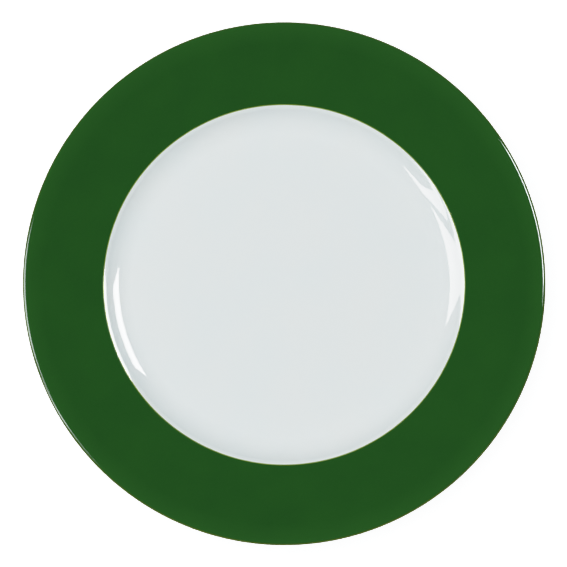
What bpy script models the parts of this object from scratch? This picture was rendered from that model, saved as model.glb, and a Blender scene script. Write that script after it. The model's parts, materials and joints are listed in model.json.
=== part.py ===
"""China dinner plate, 270 mm across, with a coloured rim band.

The plate is modelled as it is made: one turned porcelain body with a foot ring, and the glaze,
enamel and fine lines laid on it as separate thin layers. Every piece is turned about the Z axis.
The origin is at the middle of the foot ring's contact face, which is what the plate rests on.
Lengths are in metres and angles in degrees. A profile is a list of (radius, height) points.
A depth is how far a surface lies inside the plate's finished outer surface.
"""

import math

import bmesh
import bpy

# The finished upper surface, from the middle outwards. The rim steepens a little towards its lip.
PLATE_RADIUS = 0.1350
FLOOR_RADIUS = 0.0788
FLOOR_HEIGHT = 0.0074
COVE_RADIUS = 0.0180
COVE_TURN = 43.0
SHOULDER_RADIUS = 0.0067
RIM_START_SLOPE = 12.0
RIM_END_SLOPE = 17.5
LIP_RADIUS = 0.0019

# The wall, which thins from the well to the lip, and the underside with its foot ring
WELL_WALL = 0.0042
RIM_WALL = LIP_RADIUS * 2
UNDER_RIM_END_SLOPE = 13.5
RECESS_HEIGHT = 0.0030
FOOT_INNER_RADIUS = 0.0732
FOOT_OUTER_RADIUS = 0.0758
FOOT_TAPER = 0.35
FOOT_FILLET = 0.0015
BARE_FOOT_HEIGHT = 0.0008

# The layers, and the clearance that keeps each solid apart from its neighbours
LAYER = 0.0003
CLEARANCE = 0.0003
BODY_DEPTH = LAYER + CLEARANCE
HAIRLINE_WIDTH = 0.0005
HAIRLINE_SLOPE = 21.4
LIP_LINE_START = 52.0
LIP_LINE_END = -22.0
STAMP_OUTER_RADIUS = 0.0160
STAMP_INNER_RADIUS = 0.0125

# How finely each stretch is divided
TURN_STEPS = 64
COVE_STEPS = 4
SHOULDER_STEPS = 3
RIM_STEPS = 3
LIP_STEPS = 3
FILLET_STEPS = 2
SHARP_EDGE = 40.0

# Directions in a profile, counter-clockwise from the outward radius
OUTWARD = 0.0
UP = 90.0
INWARD = 180.0
DOWN = -90.0
COVE_END = COVE_TURN + DOWN
SHOULDER_START = COVE_TURN + UP
SHOULDER_END = RIM_START_SLOPE + UP
UNDER_COVE_END = -80.0

# Colours, as linear red, green and blue
BARE_PORCELAIN = (0.74, 0.70, 0.64)
WHITE_GLAZE = (0.78, 0.83, 0.82)
GREEN_ENAMEL = (0.019, 0.085, 0.017)
LIME_LINE = (0.36, 0.44, 0.10)
OLIVE_LINE = (0.17, 0.20, 0.05)
STAMP_INK = (0.05, 0.11, 0.06)


def along(point, angle, distance):
    """The point a given distance away from another, in the direction of an angle."""
    turn = math.radians(angle)
    return (point[0] + distance * math.cos(turn), point[1] + distance * math.sin(turn))


def arc(centre, radius, start, end, steps):
    """Points on an arc about a centre, from one direction to another, both ends included."""
    span = (end - start) / steps
    return [along(centre, start + span * i, radius) for i in range(steps + 1)]


def rim_radius():
    """The radius of the rim's gentle curve, which brings the lip out to the plate's full radius."""
    start = math.sin(math.radians(RIM_START_SLOPE))
    end = math.sin(math.radians(RIM_END_SLOPE))
    width = PLATE_RADIUS - LIP_RADIUS * (1.0 + end) - RIM_START[0]
    return width / (end - start)


# Arc centres of the upper surface. The cove's and the rim's lie in the air above it.
COVE_CENTRE = (FLOOR_RADIUS, FLOOR_HEIGHT + COVE_RADIUS)
SHOULDER_CENTRE = along(COVE_CENTRE, COVE_END, COVE_RADIUS + SHOULDER_RADIUS)
RIM_START = along(SHOULDER_CENTRE, SHOULDER_END, SHOULDER_RADIUS)
RIM_RADIUS = rim_radius()
RIM_CENTRE = along(RIM_START, SHOULDER_END, RIM_RADIUS)
RIM_END = RIM_END_SLOPE + DOWN
LIP_CENTRE = along(RIM_CENTRE, RIM_END, RIM_RADIUS + LIP_RADIUS)
LIP_TOP = RIM_END_SLOPE + UP

# Clearances between neighbouring layers, as angles on the arcs where they meet
SHOULDER_GAP = math.degrees(CLEARANCE / (SHOULDER_RADIUS - LAYER))
LIP_GAP = math.degrees(CLEARANCE / (LIP_RADIUS - LAYER))

# The hairline's edges, as directions on the shoulder
HAIRLINE_HALF_ANGLE = math.degrees(HAIRLINE_WIDTH / SHOULDER_RADIUS) / 2.0
HAIRLINE_INNER = HAIRLINE_SLOPE + UP + HAIRLINE_HALF_ANGLE
HAIRLINE_OUTER = HAIRLINE_SLOPE + UP - HAIRLINE_HALF_ANGLE


def shoulder(depth, start, end, steps=SHOULDER_STEPS):
    """A stretch of the rounded shoulder between the cove and the rim."""
    return arc(SHOULDER_CENTRE, SHOULDER_RADIUS - depth, start, end, steps)


def well(depth, end):
    """The floor from the axis, the cove, and the shoulder up to a direction."""
    cove = arc(COVE_CENTRE, COVE_RADIUS + depth, DOWN, COVE_END, COVE_STEPS)
    return [(0.0, FLOOR_HEIGHT - depth)] + cove + shoulder(depth, SHOULDER_START, end)[1:]


def rim(depth):
    """The rim's upper side, from where the shoulder ends to where the lip starts."""
    return arc(RIM_CENTRE, RIM_RADIUS + depth, RIM_START_SLOPE + DOWN, RIM_END, RIM_STEPS)


def lip(depth, start, end, steps=LIP_STEPS):
    """A stretch of the rounded lip."""
    return arc(LIP_CENTRE, LIP_RADIUS - depth, start, end, steps)


def underside(depth):
    """The underside of the rim, the shoulder and the cove, inwards to the foot ring."""
    under_rim_end = UNDER_RIM_END_SLOPE + DOWN
    behind_rim = RIM_RADIUS + RIM_WALL - depth
    behind_shoulder = SHOULDER_RADIUS - WELL_WALL + depth
    behind_cove = COVE_RADIUS + WELL_WALL - depth
    slope = arc(RIM_CENTRE, behind_rim, RIM_END, under_rim_end, RIM_STEPS)
    hollow = arc(SHOULDER_CENTRE, behind_shoulder, SHOULDER_END, SHOULDER_START, SHOULDER_STEPS)
    bowl = arc(COVE_CENTRE, behind_cove, COVE_END, UNDER_COVE_END, COVE_STEPS)
    return slope[1:] + hollow + bowl[1:]


def foot_outside(depth, lowest):
    """The foot ring's outer fillet and wall, down to a height above the contact face."""
    top = FLOOR_HEIGHT - WELL_WALL - FOOT_FILLET
    wall = FOOT_OUTER_RADIUS + BODY_DEPTH
    centre = (wall + FOOT_TAPER * top + FOOT_FILLET, top)
    toe = (wall + FOOT_TAPER * lowest - depth, lowest)
    return arc(centre, FOOT_FILLET + depth, UP, INWARD, FILLET_STEPS) + [toe]


def foot_inside(depth, lowest):
    """The foot ring's inner wall and fillet, and the ceiling of the recess to the axis."""
    top = RECESS_HEIGHT - FOOT_FILLET
    wall = FOOT_INNER_RADIUS - BODY_DEPTH
    centre = (wall - FOOT_TAPER * top - FOOT_FILLET, top)
    toe = (wall - FOOT_TAPER * lowest + depth, lowest)
    fillet = arc(centre, FOOT_FILLET + depth, OUTWARD, UP, FILLET_STEPS)
    return [toe] + fillet + [(0.0, RECESS_HEIGHT + depth)]


def layer_profile(surface):
    """The closed outline of a layer, from a function that gives its surface at a depth."""
    return surface(0.0) + surface(LAYER)[::-1]


def body_profile():
    upper = well(BODY_DEPTH, SHOULDER_END) + rim(BODY_DEPTH)[1:]
    edge = lip(BODY_DEPTH, LIP_TOP, OUTWARD)[1:] + lip(BODY_DEPTH, OUTWARD, RIM_END)[1:]
    under = underside(BODY_DEPTH) + foot_outside(BODY_DEPTH, 0.0)
    return upper + edge + under + foot_inside(BODY_DEPTH, 0.0)


def well_glaze_surface(depth):
    return well(depth, HAIRLINE_INNER + SHOULDER_GAP)


def hairline_surface(depth):
    return shoulder(depth, HAIRLINE_INNER, HAIRLINE_OUTER, 1)


def green_band_surface(depth):
    start = shoulder(depth, HAIRLINE_OUTER - SHOULDER_GAP, SHOULDER_END, 1)
    return start + rim(depth)[1:] + lip(depth, LIP_TOP, LIP_LINE_START + LIP_GAP)[1:]


def lip_line_surface(depth):
    return lip(depth, LIP_LINE_START, OUTWARD) + lip(depth, OUTWARD, LIP_LINE_END, 1)[1:]


def underside_surface(depth):
    edge = lip(depth, LIP_LINE_END - LIP_GAP, RIM_END)
    return edge + underside(depth) + foot_outside(depth, BARE_FOOT_HEIGHT)


def recess_surface(depth):
    return foot_inside(depth, BARE_FOOT_HEIGHT)


def backstamp_profile():
    """A flat printed ring just below the glaze of the recess."""
    top = RECESS_HEIGHT - CLEARANCE
    bottom = top - LAYER
    outer = [(STAMP_OUTER_RADIUS, top), (STAMP_OUTER_RADIUS, bottom)]
    inner = [(STAMP_INNER_RADIUS, bottom), (STAMP_INNER_RADIUS, top)]
    return outer + inner


def turned_mesh(name, profile):
    """A closed mesh made by turning a profile about the Z axis.

    A profile that starts and ends on the axis makes a disc. Any other is closed into a ring.
    """
    mesh = bmesh.new()
    points = [mesh.verts.new((radius, 0.0, height)) for radius, height in profile]
    edges = [mesh.edges.new(pair) for pair in zip(points, points[1:])]
    if profile[0][0] > 0.0:
        edges.append(mesh.edges.new((points[-1], points[0])))
    bmesh.ops.spin(
        mesh,
        geom=points + edges,
        axis=(0.0, 0.0, 1.0),
        angle=2.0 * math.pi,
        steps=TURN_STEPS,
    )
    bmesh.ops.remove_doubles(mesh, verts=mesh.verts, dist=1e-6)
    bmesh.ops.recalc_face_normals(mesh, faces=mesh.faces)
    data = bpy.data.meshes.new(name)
    mesh.to_mesh(data)
    mesh.free()
    data.shade_smooth()
    data.set_sharp_from_angle(angle=math.radians(SHARP_EDGE))
    return data


def ceramic(name, colour, roughness):
    """A non-metallic surface of one colour."""
    material = bpy.data.materials.new(name)
    material.use_nodes = True
    shader = material.node_tree.nodes["Principled BSDF"]
    shader.inputs["Base Color"].default_value = (*colour, 1.0)
    shader.inputs["Roughness"].default_value = roughness
    shader.inputs["Metallic"].default_value = 0.0
    return material


def add_piece(name, profile, material):
    """One turned sub-part of the plate."""
    data = turned_mesh(name, profile)
    data.materials.append(material)
    piece = bpy.data.objects.new(name, data)
    bpy.context.scene.collection.objects.link(piece)
    return piece


def clear_scene():
    for existing in list(bpy.data.objects):
        bpy.data.objects.remove(existing)


def build_plate():
    bare = ceramic("bare_porcelain", BARE_PORCELAIN, 0.65)
    white = ceramic("white_glaze", WHITE_GLAZE, 0.08)
    green = ceramic("green_enamel", GREEN_ENAMEL, 0.10)
    lime = ceramic("lime_line", LIME_LINE, 0.20)
    olive = ceramic("olive_line", OLIVE_LINE, 0.20)
    ink = ceramic("stamp_ink", STAMP_INK, 0.30)
    add_piece("china_body", body_profile(), bare)
    add_piece("well_glaze", layer_profile(well_glaze_surface), white)
    add_piece("inner_hairline", layer_profile(hairline_surface), lime)
    add_piece("green_rim_band", layer_profile(green_band_surface), green)
    add_piece("lip_line", layer_profile(lip_line_surface), olive)
    add_piece("underside_glaze", layer_profile(underside_surface), white)
    add_piece("foot_recess_glaze", layer_profile(recess_surface), white)
    add_piece("backstamp", backstamp_profile(), ink)


clear_scene()
build_plate()
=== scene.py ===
"""China dinner plate: the visible pieces, their materials and a pale studio around them.

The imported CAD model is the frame. Its places and overall sizes are read from it, and each of its plain
layers is replaced by a finely turned piece with the real layer's thickness and rolled edges.
Lengths are in metres, and named angles are in degrees. A chain is a list of (radius, height) points on
the plate's finished surface, running from the middle over the rim and lip and back under to the middle.
"""

import json
import math

import bmesh
import bpy
import numpy as np
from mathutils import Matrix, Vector


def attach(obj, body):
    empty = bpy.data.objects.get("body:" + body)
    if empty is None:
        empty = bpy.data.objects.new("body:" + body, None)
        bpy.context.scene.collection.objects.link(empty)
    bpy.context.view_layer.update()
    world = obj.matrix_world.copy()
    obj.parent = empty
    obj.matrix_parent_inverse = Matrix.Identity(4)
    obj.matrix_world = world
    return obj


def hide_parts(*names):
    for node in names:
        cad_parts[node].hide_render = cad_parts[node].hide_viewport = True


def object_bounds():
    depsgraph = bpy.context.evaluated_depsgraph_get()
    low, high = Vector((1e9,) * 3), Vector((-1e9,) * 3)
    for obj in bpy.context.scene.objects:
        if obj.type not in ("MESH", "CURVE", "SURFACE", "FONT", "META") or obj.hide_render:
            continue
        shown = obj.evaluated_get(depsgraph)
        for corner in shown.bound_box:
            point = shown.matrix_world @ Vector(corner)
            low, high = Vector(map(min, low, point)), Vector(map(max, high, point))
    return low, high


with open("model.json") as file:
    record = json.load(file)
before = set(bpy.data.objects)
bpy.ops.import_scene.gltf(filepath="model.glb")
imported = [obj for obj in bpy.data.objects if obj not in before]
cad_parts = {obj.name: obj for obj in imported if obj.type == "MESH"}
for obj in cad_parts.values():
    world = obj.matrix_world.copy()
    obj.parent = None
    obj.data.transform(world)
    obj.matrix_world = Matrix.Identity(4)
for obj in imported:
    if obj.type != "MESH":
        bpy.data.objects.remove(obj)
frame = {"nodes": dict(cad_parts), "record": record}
cad_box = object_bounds()

# The curves of the turned profile, as in the CAD
COVE_RADIUS = 0.0180
COVE_TURN = 43.0
SHOULDER_RADIUS = 0.0067
RIM_START_SLOPE = 12.0
RIM_END_SLOPE = 17.5
LIP_RADIUS = 0.0019
WELL_WALL = 0.0042
RIM_WALL = LIP_RADIUS * 2
UNDER_RIM_END_SLOPE = 13.5
UNDER_COVE_END = -80.0
FOOT_TAPER = 0.35
FOOT_FILLET = 0.0015
FOOT_GLAZE_STEP = 0.0006
BARE_FOOT_HEIGHT = 0.0008

# The layers' real thicknesses. A proud layer stands above the finished surface by that much.
GLAZE = 0.00025
BEDDING = 0.00010
ENAMEL_PROUD = 0.00003
HAIRLINE_PROUD = 0.00005
LIP_LINE_PROUD = 0.00002
STAMP_PROUD = 0.00002

# How a layer's edge rolls off, how far the green runs under the hairline, and how much narrower the
# hairline is than its CAD solid
EDGE_ROLL = 0.00014
EDGE_SHARES = (0.0, 0.03, 0.12, 0.3, 0.6, 1.0)
UNDERLAP = 0.00006
HAIRLINE_TRIM = 0.00016

# Where the lip's line starts and ends, as directions on the lip, and how far its neighbours run under it
LIP_LINE_START = 52.0
LIP_LINE_END = -22.0
LIP_UNDERLAP = 6.0

# What the kiln does to the shape: a slack floor, a lip out of round, and waves (count, height, start)
FLOOR_SAG = 0.00018
OUT_OF_ROUND = 0.0025
RIM_WAVES = ((2, 0.00011, 40.0), (3, 0.00006, 115.0), (5, 0.00002, 235.0))

# How finely each stretch is divided
TURN_STEPS = 288
FLOOR_STEPS = 10
COVE_STEPS = 28
SHOULDER_STEPS = 22
RIM_STEPS = 16
LIP_STEPS = 14
UNDER_STEPS = 14
FILLET_STEPS = 8

# The angle from which an edge is sharp, and how near each other two places count as one
SHARP_EDGE = 50.0
TINY = 1e-6
SNAP = TINY * 10
STATION_DIGITS = 8

# The printed mark: a plain wreath of leaves and berries
LEAF_PAIRS = 12
LEAF_LENGTH = 0.0034
LEAF_WIDTH = 0.0012
LEAF_LEAN = 32.0
LEAF_FULLNESS = 0.8
BERRY_RADIUS = 0.00032
BERRY_SIDES = 12
LEAF_POINTS = 9

# Directions in a profile, counter-clockwise from the outward radius
OUTWARD = 0.0
UP = 90.0
INWARD = 180.0
DOWN = -90.0


# ---------------------------------------------------------------- sizes from the frame


def mount_point(name):
    """A mount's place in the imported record."""
    return Vector(next(m["pos_m"] for m in frame["record"]["mounts"] if m["name"] == name))


def section(node):
    """The (radius, height) of every point of a CAD node."""
    return [(math.hypot(v.co.x, v.co.y), v.co.z) for v in frame["nodes"][node].data.vertices]


def radii_at(node, height):
    """The smallest and largest radius of a CAD node's points at one height."""
    radii = [radius for radius, z in section(node) if abs(z - height) < SNAP]
    return min(radii), max(radii)


def radii_of(node):
    """The smallest and largest radius of a CAD node."""
    radii = [radius for radius, z in section(node)]
    return min(radii), max(radii)


def height_nearest_axis(node):
    """The lowest height among a CAD node's points that lie nearest the axis."""
    reach = radii_of(node)[0] + SNAP
    return min(z for radius, z in section(node) if radius < reach)


PLATE_RADIUS = cad_box[1].x
FLOOR_HEIGHT = mount_point("well_floor").z
FLOOR_RADIUS = radii_at("well_glaze", FLOOR_HEIGHT)[1]
FOOT_INNER_RADIUS, FOOT_OUTER_RADIUS = radii_at("china_body", 0.0)
RECESS_HEIGHT = height_nearest_axis("foot_recess_glaze")
LIP_HEIGHT = max(section("lip_line"))[1]
STAMP_INNER_RADIUS, STAMP_OUTER_RADIUS = radii_of("backstamp")


def along(point, angle, distance):
    """The point a given distance away from another, in the direction of an angle."""
    turn = math.radians(angle)
    return (point[0] + distance * math.cos(turn), point[1] + distance * math.sin(turn))


def arc(centre, radius, start, end, steps):
    """Points on an arc about a centre, from one direction to another, both ends included."""
    span = (end - start) / steps
    return [along(centre, start + span * i, radius) for i in range(steps + 1)]


COVE_END = COVE_TURN + DOWN
SHOULDER_START = COVE_TURN + UP
SHOULDER_END = RIM_START_SLOPE + UP
RIM_END = RIM_END_SLOPE + DOWN
LIP_TOP = RIM_END_SLOPE + UP
COVE_CENTRE = (FLOOR_RADIUS, FLOOR_HEIGHT + COVE_RADIUS)
SHOULDER_CENTRE = along(COVE_CENTRE, COVE_END, COVE_RADIUS + SHOULDER_RADIUS)
RIM_START = along(SHOULDER_CENTRE, SHOULDER_END, SHOULDER_RADIUS)
LIP_CENTRE = (PLATE_RADIUS - LIP_RADIUS, LIP_HEIGHT)
RIM_STOP = along(LIP_CENTRE, LIP_TOP, LIP_RADIUS)
RIM_RADIUS = math.dist(RIM_START, RIM_STOP) / (
    2.0 * math.sin(math.radians(RIM_END_SLOPE - RIM_START_SLOPE) / 2.0)
)
RIM_CENTRE = along(RIM_START, SHOULDER_END, RIM_RADIUS)


def shoulder_direction(radius):
    """The direction on the shoulder at which it is that far from the axis."""
    return math.degrees(math.acos((radius - SHOULDER_CENTRE[0]) / SHOULDER_RADIUS))


# The hairline's edges, as directions on the shoulder
HAIRLINE_RADII = radii_of("inner_hairline")
HAIRLINE_INNER = shoulder_direction(HAIRLINE_RADII[0] + HAIRLINE_TRIM)
HAIRLINE_OUTER = shoulder_direction(HAIRLINE_RADII[1])
SHOULDER_UNDERLAP = math.degrees(UNDERLAP / SHOULDER_RADIUS)


# ---------------------------------------------------------------- chains on the finished surface


def floor_and_cove():
    floor = [(FLOOR_RADIUS * i / FLOOR_STEPS, FLOOR_HEIGHT) for i in range(FLOOR_STEPS)]
    return floor + arc(COVE_CENTRE, COVE_RADIUS, DOWN, COVE_END, COVE_STEPS)


def shoulder(start, end, steps=SHOULDER_STEPS):
    return arc(SHOULDER_CENTRE, SHOULDER_RADIUS, start, end, steps)


def rim():
    return arc(RIM_CENTRE, RIM_RADIUS, RIM_START_SLOPE + DOWN, RIM_END, RIM_STEPS)


def lip(start, end):
    return arc(LIP_CENTRE, LIP_RADIUS, start, end, LIP_STEPS)


def underside():
    """The underside of the rim, the shoulder and the cove, inwards to the foot ring."""
    under_rim_end = UNDER_RIM_END_SLOPE + DOWN
    behind_shoulder = SHOULDER_RADIUS - WELL_WALL
    slope = arc(RIM_CENTRE, RIM_RADIUS + RIM_WALL, RIM_END, under_rim_end, UNDER_STEPS)
    hollow = arc(SHOULDER_CENTRE, behind_shoulder, SHOULDER_END, SHOULDER_START, UNDER_STEPS)
    bowl = arc(COVE_CENTRE, COVE_RADIUS + WELL_WALL, COVE_END, UNDER_COVE_END, UNDER_STEPS)
    return slope[1:] + hollow + bowl[1:]


def foot_outside(lowest):
    """The foot ring's outer fillet and wall, down to a height above the contact face."""
    top = FLOOR_HEIGHT - WELL_WALL - FOOT_FILLET
    wall = FOOT_OUTER_RADIUS + FOOT_GLAZE_STEP
    centre = (wall + FOOT_TAPER * top + FOOT_FILLET, top)
    return arc(centre, FOOT_FILLET, UP, INWARD, FILLET_STEPS) + [(wall + FOOT_TAPER * lowest, lowest)]


def foot_inside(lowest):
    """The foot ring's inner wall and fillet, and the ceiling of the recess to the axis."""
    top = RECESS_HEIGHT - FOOT_FILLET
    wall = FOOT_INNER_RADIUS - FOOT_GLAZE_STEP
    centre = (wall - FOOT_TAPER * top - FOOT_FILLET, top)
    fillet = arc(centre, FOOT_FILLET, OUTWARD, UP, FILLET_STEPS)
    ceiling = [(centre[0] * (1.0 - i / FLOOR_STEPS), RECESS_HEIGHT) for i in range(1, FLOOR_STEPS + 1)]
    return [(wall - FOOT_TAPER * lowest, lowest)] + fillet + ceiling


# ---------------------------------------------------------------- outlines of layers


def lengths(chain):
    """How far along a chain each of its points is."""
    steps = np.linalg.norm(np.diff(chain, axis=0), axis=1)
    return np.concatenate(([0.0], np.cumsum(steps)))


def with_points_near(chain, ends):
    """The chain with more points where an edge rolls off at its start, its end, or both."""
    points = np.array(chain)
    run = lengths(points)
    near_start = [EDGE_ROLL * share for share in EDGE_SHARES if ends[0]]
    near_end = [run[-1] - EDGE_ROLL * share for share in EDGE_SHARES if ends[1]]
    stations = np.unique(np.round(np.concatenate((run, near_start, near_end)), STATION_DIGITS))
    return np.column_stack([np.interp(stations, run, points[:, axis]) for axis in (0, 1)])


def offset(points, amount):
    """Points moved along the outward normal of the chain they make."""
    tangents = np.gradient(points, axis=0)
    normals = np.column_stack((-tangents[:, 1], tangents[:, 0]))
    normals /= np.linalg.norm(normals, axis=1)[:, None]
    return points + normals * np.reshape(amount, (-1, 1))


def layer(chain, proud=0.0, rises=(0.0, 0.0)):
    """The closed outline of a layer on a chain. Each end rises from the surface in a rolled edge."""
    points = with_points_near(chain, rises)
    run = lengths(points)
    top = np.full(len(points), proud)
    for rise, distance in zip(rises, (run, run[-1] - run)):
        share = np.clip(distance / EDGE_ROLL, 0.0, 1.0)
        top -= rise * (1.0 - np.sqrt(1.0 - (1.0 - share) ** 2))
    upper = offset(points, top)
    lower = offset(points, -(GLAZE + BEDDING))
    return [tuple(p) for p in upper] + [tuple(p) for p in lower[::-1]]


def well_glaze_outline():
    """The white glaze of the well, which runs on under the hairline to its outer edge."""
    return layer(floor_and_cove() + shoulder(SHOULDER_START, HAIRLINE_OUTER)[1:])


def hairline_outline():
    """The hairline on the shoulder, with both edges rolled."""
    rises = (HAIRLINE_PROUD, HAIRLINE_PROUD)
    return layer(shoulder(HAIRLINE_INNER, HAIRLINE_OUTER), HAIRLINE_PROUD, rises)


def green_band_outline():
    """The green enamel, from under the hairline to under the lip's line."""
    start = shoulder(HAIRLINE_OUTER + SHOULDER_UNDERLAP, SHOULDER_END)
    end = lip(LIP_TOP, LIP_LINE_START - LIP_UNDERLAP)
    return layer(start + rim()[1:] + end[1:], ENAMEL_PROUD, (ENAMEL_PROUD, ENAMEL_PROUD))


def lip_line_outline():
    """The line round the lip's outer edge, with both edges rolled."""
    rises = (LIP_LINE_PROUD, LIP_LINE_PROUD)
    return layer(lip(LIP_LINE_START, LIP_LINE_END), LIP_LINE_PROUD, rises)


def underside_outline():
    """The white glaze from under the lip's line to the foot ring, where it ends in a rolled edge."""
    start = lip(LIP_LINE_END + LIP_UNDERLAP, RIM_END)
    return layer(start + underside() + foot_outside(BARE_FOOT_HEIGHT), 0.0, (0.0, GLAZE))


def recess_outline():
    """The white glaze of the recess. Its outline is started where it leaves the axis."""
    outline = layer(foot_inside(BARE_FOOT_HEIGHT), 0.0, (GLAZE, 0.0))
    half = len(outline) // 2
    return outline[half:] + outline[:half]


def toe(wall, side):
    """The bare foot's rounded corner, from the wall that the glaze stops on to the contact face."""
    face = FOOT_OUTER_RADIUS if side > 0 else FOOT_INNER_RADIUS
    corner = abs(wall - face)
    centre = (face, corner)
    start = OUTWARD if side > 0 else INWARD
    end = DOWN if side > 0 else DOWN + 360.0
    return arc(centre, corner, start, end, FILLET_STEPS)


def body_outline():
    """The porcelain itself: under the glaze all over, and bare on the foot ring."""
    upper = floor_and_cove() + shoulder(SHOULDER_START, SHOULDER_END)[1:] + rim()[1:]
    under = lip(LIP_TOP, RIM_END)[1:] + underside() + foot_outside(BARE_FOOT_HEIGHT)
    outside = offset(np.array(upper + under), -GLAZE)
    inside = offset(np.array(foot_inside(BARE_FOOT_HEIGHT)), -GLAZE)
    outer_toe = toe(FOOT_OUTER_RADIUS + FOOT_GLAZE_STEP - GLAZE, 1)
    inner_toe = toe(FOOT_INNER_RADIUS - FOOT_GLAZE_STEP + GLAZE, -1)
    return [tuple(p) for p in outside] + outer_toe + inner_toe[::-1] + [tuple(p) for p in inside]


# ---------------------------------------------------------------- turning and firing


def fired(points):
    """Where the points of the turned shape, as rows of an array, are after firing."""
    x, y, z = points.T
    radius = np.hypot(x, y)
    turn = np.arctan2(y, x)
    share = np.clip((radius - FOOT_OUTER_RADIUS) / (PLATE_RADIUS - FOOT_OUTER_RADIUS), 0.0, 1.0)
    share = share * share * (3.0 - 2.0 * share)
    wave = sum(rise * np.cos(count * turn + math.radians(start)) for count, rise, start in RIM_WAVES)
    slack = np.clip(1.0 - (radius / FOOT_INNER_RADIUS) ** 2, 0.0, 1.0) ** 2
    stretch = OUT_OF_ROUND * share
    height = z + wave * share - FLOOR_SAG * slack
    return np.column_stack((x * (1.0 - stretch), y * (1.0 + stretch), height))


def smooth_mesh(name, points, faces):
    """Fired mesh data, shaded smooth except where it has a true edge."""
    data = bpy.data.meshes.new(name)
    data.from_pydata(fired(points).tolist(), [], faces)
    data.shade_smooth()
    data.set_sharp_from_angle(angle=math.radians(SHARP_EDGE))
    return data


def turned_mesh(name, outline):
    """A closed mesh made by turning an outline about the Z axis.

    An outline that starts and ends on the axis makes a disc. Any other is closed into a ring.
    """
    rings = [point for point in outline if point[0] > TINY]
    turns = np.linspace(0.0, 2.0 * math.pi, TURN_STEPS, endpoint=False)
    points = [(r * math.cos(turn), r * math.sin(turn), z) for r, z in rings for turn in turns]
    is_disc = outline[0][0] <= TINY
    faces = []
    for ring in range(len(rings) - 1 if is_disc else len(rings)):
        here = ring * TURN_STEPS
        onward = (ring + 1) % len(rings) * TURN_STEPS
        for i in range(TURN_STEPS):
            j = (i + 1) % TURN_STEPS
            faces.append((here + i, onward + i, onward + j, here + j))
    if is_disc:
        last = (len(rings) - 1) * TURN_STEPS
        first_pole = len(points)
        last_pole = first_pole + 1
        points += [(0.0, 0.0, outline[0][1]), (0.0, 0.0, outline[-1][1])]
        for i in range(TURN_STEPS):
            j = (i + 1) % TURN_STEPS
            faces.append((first_pole, i, j))
            faces.append((last_pole, last + j, last + i))
    return smooth_mesh(name, np.array(points), faces)


def add_piece(name, data, material, node):
    """A visible piece that stands for one CAD node and takes its material slot."""
    data.materials.append(material)
    piece = bpy.data.objects.new(name, data)
    bpy.context.scene.collection.objects.link(piece)
    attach(piece, "root")
    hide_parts(node)


def leaf_points(centre, heading):
    """The outline of a pointed leaf about a centre, with its length along a heading in radians."""
    outline = []
    for side in (1.0, -1.0):
        for i in range(LEAF_POINTS):
            share = i / LEAF_POINTS
            ahead = side * LEAF_LENGTH * (0.5 - share)
            aside = side * LEAF_WIDTH * 0.5 * math.sin(math.pi * share) ** LEAF_FULLNESS
            outline.append((ahead, aside))
    c, s = math.cos(heading), math.sin(heading)
    return [(centre[0] + x * c - y * s, centre[1] + x * s + y * c) for x, y in outline]


def berry_points(centre):
    turns = [2.0 * math.pi * i / BERRY_SIDES for i in range(BERRY_SIDES)]
    return [(centre[0] + BERRY_RADIUS * math.cos(t), centre[1] + BERRY_RADIUS * math.sin(t)) for t in turns]


def printed_flake(mesh, outline):
    """One closed flake of printed colour in the recess glaze, from its (x, y) outline."""
    corners = [mesh.verts.new((x, y, RECESS_HEIGHT - STAMP_PROUD)) for x, y in outline]
    face = mesh.faces.new(corners)
    raised = bmesh.ops.extrude_face_region(mesh, geom=[face], use_keep_orig=True)
    for corner in raised["geom"]:
        if isinstance(corner, bmesh.types.BMVert):
            corner.co.z = RECESS_HEIGHT + BEDDING


def backstamp_mesh():
    """A wreath: pairs of leaves that lean out of one ring, with a berry between the pairs."""
    mesh = bmesh.new()
    ring = (STAMP_INNER_RADIUS + STAMP_OUTER_RADIUS) / 2.0
    spread = (STAMP_OUTER_RADIUS - STAMP_INNER_RADIUS) / 4.0
    for pair in range(LEAF_PAIRS):
        turn = 2.0 * math.pi * pair / LEAF_PAIRS
        for side in (1.0, -1.0):
            radius = ring + side * spread
            heading = turn + math.pi / 2.0 - side * math.radians(LEAF_LEAN)
            place = (radius * math.cos(turn), radius * math.sin(turn))
            printed_flake(mesh, leaf_points(place, heading))
        halfway = turn + math.pi / LEAF_PAIRS
        printed_flake(mesh, berry_points((ring * math.cos(halfway), ring * math.sin(halfway))))
    bmesh.ops.recalc_face_normals(mesh, faces=mesh.faces)
    mesh.verts.index_update()
    points = np.array([vertex.co for vertex in mesh.verts])
    faces = [[vertex.index for vertex in face.verts] for face in mesh.faces]
    mesh.free()
    return smooth_mesh("backstamp_wreath", points, faces)


# ---------------------------------------------------------------- materials

# Colours are linear red, green and blue
WHITE_COOL = (0.768, 0.828, 0.838)
WHITE_WARM = (0.785, 0.832, 0.834)
IRON_SPECK = (0.33, 0.26, 0.19)
GREEN_DEEP = (0.0046, 0.074, 0.0034)
GREEN_MID = (0.0064, 0.082, 0.0040)
GREEN_THIN = (0.0200, 0.125, 0.0130)
LIME_THIN = (0.29, 0.41, 0.045)
LIME_FULL = (0.19, 0.30, 0.015)
# The lip line's olive is its own colour made lighter and yellower all round: painted light that stands in for
# the softboxes lighting the lip's outer side
OLIVE_THIN_LIT = (0.120, 0.175, 0.012)
OLIVE_FULL_LIT = (0.082, 0.132, 0.006)
BARE_CLEAN = (0.74, 0.72, 0.67)
BARE_RUBBED = (0.58, 0.565, 0.53)
INK_FULL = (0.045, 0.105, 0.055)
INK_STARVED = (0.35, 0.42, 0.36)
LUSTRE_TINT = (0.88, 1.0, 0.50)
GLAZE_IOR = 1.50
ENAMEL_IOR = 1.66

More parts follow.
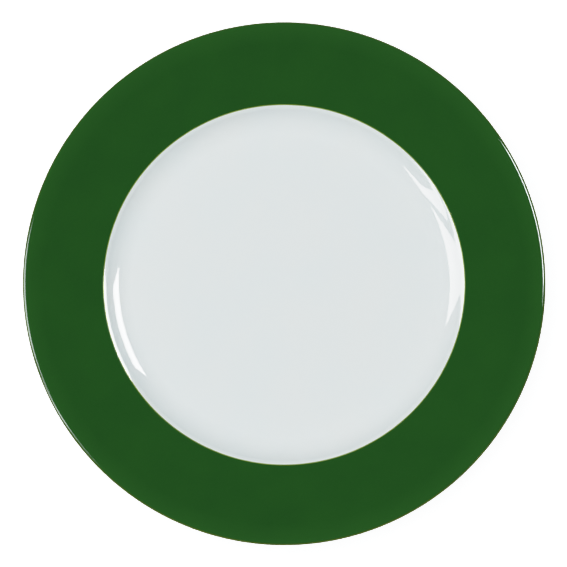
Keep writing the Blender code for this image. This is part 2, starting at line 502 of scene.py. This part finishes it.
# Roughness, as the span that it varies over
WHITE_ROUGHNESS = (0.008, 0.018)
GREEN_ROUGHNESS = (0.020, 0.040)
LINE_ROUGHNESS = (0.04, 0.08)
BARE_ROUGHNESS = (0.55, 0.75)
INK_ROUGHNESS = (0.12, 0.22)

# The sizes of the features that vary over a surface
WHITE_CLOUD = 0.030
WHITE_SHEEN = 0.012
WHITE_PEEL = 0.0030
GREEN_MOTTLE = 0.022
GREEN_GRAIN = 0.0006
GREEN_SHEEN = 0.010
GREEN_PEEL = 0.0042
LIME_STROKE = 0.010
OLIVE_STROKE = 0.014
LINE_SHEEN = 0.004
BARE_RUB = 0.010
BARE_GRAIN = 0.0004
INK_GRAIN = 0.0008
INK_SHEEN = 0.002

# How many octaves of finer noise a look has
SOFT_DETAIL = 2.0
FINE_DETAIL = 3.0
RICH_DETAIL = 4.0

# The heights of fine relief
PEEL_HEIGHT = 0.0000018
BARE_GRAIN_HEIGHT = 0.00002

# Noise is spread over the middle of its range. A look that needs other limits has its own.
NOISE_RANGE = (0.3, 0.7)
GREEN_GRAIN_RANGE = (0.35, 0.65)
BARE_RUB_RANGE = (0.45, 0.75)
INK_STARVED_RANGE = (0.5, 0.72)
GREEN_GRAIN_SHARE = 0.10
INK_STARVED_SHARE = 0.5

# The green thins from one share of the plate's radius to another, by up to this much
GREEN_THINS_FROM = 0.92
GREEN_THINS_TO = 0.992
GREEN_THINNING = 0.35

# Iron specks: a cell's size, the share of cells that hold one, its reach and the solid part of that,
# how strongly it colours the glaze, and the step within which chance decides
SPECK_CELL = 0.006
SPECK_SHARE = 0.05
SPECK_REACH = 0.022
SPECK_CORE = 0.6
SPECK_DEPTH = 0.55
CHOICE_STEP = 0.001

# Knife marks: their directions and size, where they are cut from the noise, and their roughness
MARK_ANGLES = (17.0, 74.0, 131.0)
MARK_LENGTH = 0.016
MARK_WIDTH = 0.00022
MARK_RANGE = (0.76, 0.80)
MARK_ROUGHNESS = 0.10

# Which sockets of a Mix node hold colours
MIX_COLOUR_INPUTS = (6, 7)
MIX_COLOUR_OUTPUT = 2


def add_node(tree, kind, inputs=None, **settings):
    """A shader node with its settings, and its inputs given as values or as sockets to link."""
    made = tree.nodes.new("ShaderNode" + kind)
    for key, value in settings.items():
        setattr(made, key, value)
    for key, value in (inputs or {}).items():
        if isinstance(value, bpy.types.NodeSocket):
            tree.links.new(value, made.inputs[key])
        else:
            made.inputs[key].default_value = value
    return made


def new_material(name):
    """A Principled material, its node tree, its shader and the place on the plate in metres."""
    material = bpy.data.materials.new(name)
    material.use_nodes = True
    tree = material.node_tree
    shader = tree.nodes["Principled BSDF"]
    place = add_node(tree, "TexCoord").outputs["Object"]
    return material, tree, shader, place


def noise(tree, place, size, detail=SOFT_DETAIL):
    """Soft noise whose features are about a given size."""
    return add_node(tree, "TexNoise", {"Vector": place, "Scale": 1.0 / size, "Detail": detail}).outputs["Fac"]


def between(tree, value, low, high, start=0.0, end=1.0):
    """A value's share of the way from low to high, spread over start to end."""
    inputs = {"Value": value, "From Min": low, "From Max": high, "To Min": start, "To Max": end}
    return add_node(tree, "MapRange", inputs).outputs["Result"]


def varied(tree, value, span=(0.0, 1.0)):
    """A noise spread over a span of values."""
    return between(tree, value, *NOISE_RANGE, *span)


def times(tree, one, other):
    return add_node(tree, "Math", {0: one, 1: other}, operation="MULTIPLY").outputs["Value"]


def plus(tree, one, other):
    return add_node(tree, "Math", {0: one, 1: other}, operation="ADD").outputs["Value"]


def blend_colours(tree, share, one, other):
    """A colour between two others, each a socket or a triple."""
    made = add_node(tree, "Mix", {"Factor": share}, data_type="RGBA")
    for index, colour in zip(MIX_COLOUR_INPUTS, (one, other)):
        if isinstance(colour, bpy.types.NodeSocket):
            tree.links.new(colour, made.inputs[index])
        else:
            made.inputs[index].default_value = (*colour, 1.0)
    return made.outputs[MIX_COLOUR_OUTPUT]


def paint(tree, shader, colour, roughness):
    """Link a surface's colour and roughness."""
    tree.links.new(colour, shader.inputs["Base Color"])
    tree.links.new(roughness, shader.inputs["Roughness"])


def raise_surface(tree, shader, height, distance):
    """Fine relief, given as its height in metres for a full step of a value."""
    bump = add_node(tree, "Bump", {"Height": height, "Strength": 1.0, "Distance": distance})
    tree.links.new(bump.outputs["Normal"], shader.inputs["Normal"])


def specks(tree, place):
    """Sparse round dots, each in a cell that chance has chosen."""
    cells = add_node(tree, "TexVoronoi", {"Vector": place, "Scale": 1.0 / SPECK_CELL})
    near = between(tree, cells.outputs["Distance"], SPECK_REACH, SPECK_REACH * SPECK_CORE)
    chance = add_node(tree, "SeparateColor", {"Color": cells.outputs["Color"]}).outputs["Red"]
    chosen = between(tree, chance, 1.0 - SPECK_SHARE, 1.0 - SPECK_SHARE + CHOICE_STEP)
    return times(tree, near, chosen)


def knife_marks(tree, place, angle):
    """Faint straight marks in one direction: noise drawn out along it and cut to its peaks."""
    scale = (1.0 / MARK_LENGTH, 1.0 / MARK_WIDTH, 1.0 / MARK_LENGTH)
    inputs = {"Vector": place, "Rotation": (0.0, 0.0, math.radians(angle)), "Scale": scale}
    turned = add_node(tree, "Mapping", inputs).outputs["Vector"]
    streaks = add_node(tree, "TexNoise", {"Vector": turned, "Scale": 1.0, "Detail": 1.0}).outputs["Fac"]
    return between(tree, streaks, *MARK_RANGE)


def white_glaze(name, marked):
    """Cool white glaze, cloudy by a percent or two, with iron specks and, in the well, knife marks."""
    material, tree, shader, place = new_material(name)
    cloud = varied(tree, noise(tree, place, WHITE_CLOUD, FINE_DETAIL))
    colour = blend_colours(tree, cloud, WHITE_COOL, WHITE_WARM)
    dots = times(tree, specks(tree, place), SPECK_DEPTH)
    colour = blend_colours(tree, dots, colour, IRON_SPECK)
    roughness = varied(tree, noise(tree, place, WHITE_SHEEN), WHITE_ROUGHNESS)
    if marked:
        for angle in MARK_ANGLES:
            marks = times(tree, knife_marks(tree, place, angle), MARK_ROUGHNESS)
            roughness = plus(tree, roughness, marks)
    paint(tree, shader, colour, roughness)
    shader.inputs["IOR"].default_value = GLAZE_IOR
    raise_surface(tree, shader, noise(tree, place, WHITE_PEEL), PEEL_HEIGHT)
    return material


def distance_from_axis(tree, place):
    flat = add_node(tree, "VectorMath", {0: place, 1: (1.0, 1.0, 0.0)}, operation="MULTIPLY")
    return add_node(tree, "VectorMath", {0: flat.outputs["Vector"]}, operation="LENGTH").outputs["Value"]


def green_enamel(name):
    """Deep green enamel, mottled where it was laid a little thicker, and thinner towards the lip."""
    material, tree, shader, place = new_material(name)
    mottle = varied(tree, noise(tree, place, GREEN_MOTTLE, RICH_DETAIL))
    colour = blend_colours(tree, mottle, GREEN_DEEP, GREEN_MID)
    grain = between(tree, noise(tree, place, GREEN_GRAIN), *GREEN_GRAIN_RANGE)
    colour = blend_colours(tree, times(tree, grain, GREEN_GRAIN_SHARE), colour, GREEN_THIN)
    limits = (PLATE_RADIUS * GREEN_THINS_FROM, PLATE_RADIUS * GREEN_THINS_TO)
    edge = between(tree, distance_from_axis(tree, place), *limits, 0.0, GREEN_THINNING)
    colour = blend_colours(tree, edge, colour, GREEN_THIN)
    paint(tree, shader, colour, varied(tree, noise(tree, place, GREEN_SHEEN), GREEN_ROUGHNESS))
    shader.inputs["IOR"].default_value = ENAMEL_IOR
    raise_surface(tree, shader, noise(tree, place, GREEN_PEEL), PEEL_HEIGHT)
    return material


def banding_colour(name, thin, full, size):
    """A fine hand-banded line, with a yellow lustre: its colour thins and thickens along the stroke."""
    material, tree, shader, place = new_material(name)
    colour = blend_colours(tree, varied(tree, noise(tree, place, size, FINE_DETAIL)), thin, full)
    paint(tree, shader, colour, varied(tree, noise(tree, place, LINE_SHEEN), LINE_ROUGHNESS))
    shader.inputs["IOR"].default_value = ENAMEL_IOR
    shader.inputs["Specular Tint"].default_value = (*LUSTRE_TINT, 1.0)
    return material


def bare_porcelain(name):
    """Ground, unglazed porcelain: fine grain, a little grey where it has stood on shelves."""
    material, tree, shader, place = new_material(name)
    rub = between(tree, noise(tree, place, BARE_RUB, RICH_DETAIL), *BARE_RUB_RANGE)
    colour = blend_colours(tree, rub, BARE_CLEAN, BARE_RUBBED)
    grain = noise(tree, place, BARE_GRAIN, FINE_DETAIL)
    paint(tree, shader, colour, varied(tree, grain, BARE_ROUGHNESS))
    raise_surface(tree, shader, grain, BARE_GRAIN_HEIGHT)
    return material


def stamp_ink(name):
    """Printed ink under a thin glaze, a little starved in places."""
    material, tree, shader, place = new_material(name)
    starved = between(tree, noise(tree, place, INK_GRAIN, RICH_DETAIL), *INK_STARVED_RANGE)
    colour = blend_colours(tree, times(tree, starved, INK_STARVED_SHARE), INK_FULL, INK_STARVED)
    paint(tree, shader, colour, varied(tree, noise(tree, place, INK_SHEEN), INK_ROUGHNESS))
    return material


def build_plate():
    """The eight visible pieces, each in the place of its CAD node."""
    bare = bare_porcelain("bare_porcelain")
    well_white = white_glaze("white_glaze_well", True)
    under_white = white_glaze("white_glaze_underside", False)
    green = green_enamel("green_enamel")
    lime = banding_colour("lime_line", LIME_THIN, LIME_FULL, LIME_STROKE)
    # The olive line's colour carries painted light, lighter than its own colour, for the softboxes on the lip
    olive = banding_colour("olive_line", OLIVE_THIN_LIT, OLIVE_FULL_LIT, OLIVE_STROKE)
    ink = stamp_ink("stamp_ink")
    turned = (
        ("porcelain", body_outline, bare, "china_body", "bare_porcelain"),
        ("well_white", well_glaze_outline, well_white, "well_glaze", "white_glaze"),
        ("hairline", hairline_outline, lime, "inner_hairline", "lime_line"),
        ("green_band", green_band_outline, green, "green_rim_band", "green_enamel"),
        ("lip_edge_line", lip_line_outline, olive, "lip_line", "olive_line"),
        ("underside_white", underside_outline, under_white, "underside_glaze", "white_glaze"),
        ("recess_white", recess_outline, under_white, "foot_recess_glaze", "white_glaze"),
    )
    for name, outline, material, node, slot in turned:
        add_piece(name, turned_mesh(name, outline()), material, node)
    add_piece("backstamp_wreath", backstamp_mesh(), ink, "backstamp")


# ---------------------------------------------------------------- studio

# The table's colour and glow, as the camera sees them and as a light. Its glow grows with distance.
FLOOR_SIZE = 60.0
FLOOR_DROP = 0.0001
FLOOR_ROUGHNESS = 0.9
FLOOR_SHADE_SEEN = 2.35
FLOOR_SHADE_LIGHT = 0.9
FLOOR_GLOW_NEAR = 0.05
FLOOR_GLOW_FAR = 2.4
FLOOR_GLOW_FROM = 0.25
FLOOR_GLOW_TO = 2.5
FLOOR_GLOW_LIGHT = 0.36

# The sky's brightness to the camera, as a light and in the gloss, and the light overhead
SKY_SEEN = 3.0
SKY_LIGHT = 0.27
SKY_GLOSS = 0.165
OVERHEAD_SIZE = 2.6
OVERHEAD_PLACE = (-0.35, 0.0, 2.4)
OVERHEAD_POWER = 54.0

CAMERA_DISTANCE = 4.0
CAMERA_AZIMUTH = -90.0
CAMERA_ELEVATION = 84.8
CAMERA_REACH = 100.0
CAMERA_LENS = 493.0
CAMERA_AIM = (-0.00034, -0.00030)
SENSOR_WIDTH = 36.0

# Display tones as (light, shown): true up to 0.8, then a shoulder
TONES = ((0.0, 0.0), (0.40, 0.40), (0.80, 0.80), (1.0, 0.875), (1.4, 0.94), (2.0, 1.0))
COMBINED_CURVE = 3

# Softboxes that the gloss shows, as (azimuth, elevation) corners seen from the wall that mirrors them
PANEL_DISTANCE = 1.2
RIGHT_SEEN_FROM = (-0.086, -0.020, 0.010)
RIGHT_CORNERS = ((2.9, 44.5), (37.2, 45.5), (33.0, 27.0), (7.5, 27.0))
RIGHT_RADIANCE = 26.0
LEFT_SEEN_FROM = (0.088, 0.010, 0.010)
LEFT_CORNERS = ((161.0, 43.0), (200.0, 45.0), (186.6, 2.5), (173.5, 2.5))
FAR_LEFT_CORNERS = ((205.2, 45.0), (209.5, 45.0), (218.0, 38.5), (208.6, 35.0), (205.4, 3.0), (195.2, 10.0))
LEFT_RADIANCE = 10.5
LOW_GLOW = 0.5
FULL_GLOW_HEIGHT = PANEL_DISTANCE * 0.7
PANEL_COLOUR = (0.94, 0.97, 1.0)


def direction(azimuth, elevation):
    """A unit vector: azimuth counter-clockwise from +X, elevation up from the horizon."""
    turn, rise = math.radians(azimuth), math.radians(elevation)
    return Vector((math.cos(turn) * math.cos(rise), math.sin(turn) * math.cos(rise), math.sin(rise)))


def glow_material(name, radiance):
    """A softbox's front, which glows less towards the table."""
    material = bpy.data.materials.new(name)
    material.use_nodes = True
    tree = material.node_tree
    tree.nodes.clear()
    place = add_node(tree, "TexCoord").outputs["Object"]
    height = add_node(tree, "SeparateXYZ", {"Vector": place}).outputs["Z"]
    strength = between(tree, height, 0.0, FULL_GLOW_HEIGHT, radiance * LOW_GLOW, radiance)
    glow = add_node(tree, "Emission", {"Color": (*PANEL_COLOUR, 1.0), "Strength": strength})
    end = tree.nodes.new("ShaderNodeOutputMaterial")
    tree.links.new(glow.outputs["Emission"], end.inputs["Surface"])
    return material


def add_softbox(name, seen_from, corners, radiance):
    """A glowing panel that only the gloss shows. The soft general light comes from overhead."""
    points = [Vector(seen_from) + direction(*corner) * PANEL_DISTANCE for corner in corners]
    data = bpy.data.meshes.new(name)
    data.from_pydata(points, [], [tuple(range(len(points)))])
    data.materials.append(glow_material(name + "_glow", radiance))
    panel = bpy.data.objects.new(name, data)
    bpy.context.scene.collection.objects.link(panel)
    panel.visible_camera = False
    panel.visible_diffuse = False
    panel.visible_shadow = False


def add_overhead():
    """A large soft light above, which lights the plate but isn't mirrored in it."""
    data = bpy.data.lights.new("overhead", "AREA")
    data.shape = "SQUARE"
    data.size = OVERHEAD_SIZE
    data.energy = OVERHEAD_POWER
    light = bpy.data.objects.new("overhead", data)
    light.location = OVERHEAD_PLACE
    light.rotation_euler = (-light.location).to_track_quat("-Z", "Y").to_euler()
    bpy.context.scene.collection.objects.link(light)
    light.visible_camera = False
    light.visible_glossy = False


def add_world():
    """A pale sky: bright where the camera sees it, and dim as a light."""
    world = bpy.data.worlds.new("pale_studio")
    bpy.context.scene.world = world
    world.use_nodes = True
    tree = world.node_tree
    path = add_node(tree, "LightPath").outputs
    light = between(tree, path["Is Glossy Ray"], 0.0, 1.0, SKY_LIGHT, SKY_GLOSS)
    strength = between(tree, path["Is Camera Ray"], 0.0, 1.0, light, SKY_SEEN)
    sky = tree.nodes["Background"]
    sky.inputs["Color"].default_value = (1.0, 1.0, 1.0, 1.0)
    tree.links.new(strength, sky.inputs["Strength"])


def add_floor():
    """The plain pale table, brighter to the camera so that it stays white around a soft shadow."""
    half = FLOOR_SIZE / 2.0
    corners = [(-half, -half), (half, -half), (half, half), (-half, half)]
    data = bpy.data.meshes.new("floor")
    data.from_pydata([(x, y, -FLOOR_DROP) for x, y in corners], [], [(0, 1, 2, 3)])
    material, tree, shader, place = new_material("pale_floor")
    shader.inputs["Roughness"].default_value = FLOOR_ROUGHNESS
    shader.inputs["Emission Color"].default_value = (1.0, 1.0, 1.0, 1.0)
    seen = add_node(tree, "LightPath").outputs["Is Camera Ray"]
    shade = between(tree, seen, 0.0, 1.0, FLOOR_SHADE_LIGHT, FLOOR_SHADE_SEEN)
    away = distance_from_axis(tree, place)
    glow_seen = between(tree, away, FLOOR_GLOW_FROM, FLOOR_GLOW_TO, FLOOR_GLOW_NEAR, FLOOR_GLOW_FAR)
    glow = between(tree, seen, 0.0, 1.0, FLOOR_GLOW_LIGHT, glow_seen)
    tree.links.new(shade, shader.inputs["Base Color"])
    tree.links.new(glow, shader.inputs["Emission Strength"])
    data.materials.append(material)
    floor = bpy.data.objects.new("floor", data)
    bpy.context.scene.collection.objects.link(floor)
    floor.visible_glossy = False


def add_camera():
    """A long lens almost straight above, a little to the front, aimed at the lip's plane."""
    data = bpy.data.cameras.new("camera")
    data.sensor_width = SENSOR_WIDTH
    data.lens = CAMERA_LENS
    data.clip_end = CAMERA_REACH
    camera = bpy.data.objects.new("camera", data)
    toward = direction(CAMERA_AZIMUTH, CAMERA_ELEVATION)
    camera.location = Vector((*CAMERA_AIM, LIP_HEIGHT)) + toward * CAMERA_DISTANCE
    camera.rotation_euler = (-toward).to_track_quat("-Z", "Y").to_euler()
    bpy.context.scene.collection.objects.link(camera)
    bpy.context.scene.camera = camera


def set_tones():
    """Plain display tones, with a shoulder that keeps strong highlights from clipping flat."""
    view = bpy.context.scene.view_settings
    view.view_transform = "Standard"
    view.use_curve_mapping = True
    mapping = view.curve_mapping
    mapping.clip_max_x = TONES[-1][0]
    points = mapping.curves[COMBINED_CURVE].points
    points[0].location = TONES[0]
    points[1].location = TONES[-1]
    for light, shown in TONES[1:-1]:
        points.new(light, shown)
    mapping.update()


build_plate()
add_floor()
add_world()
add_overhead()
add_softbox("right_softbox", RIGHT_SEEN_FROM, RIGHT_CORNERS, RIGHT_RADIANCE)
add_softbox("left_softbox", LEFT_SEEN_FROM, LEFT_CORNERS, LEFT_RADIANCE)
add_softbox("far_left_softbox", LEFT_SEEN_FROM, FAR_LEFT_CORNERS, LEFT_RADIANCE)
add_camera()
set_tones()
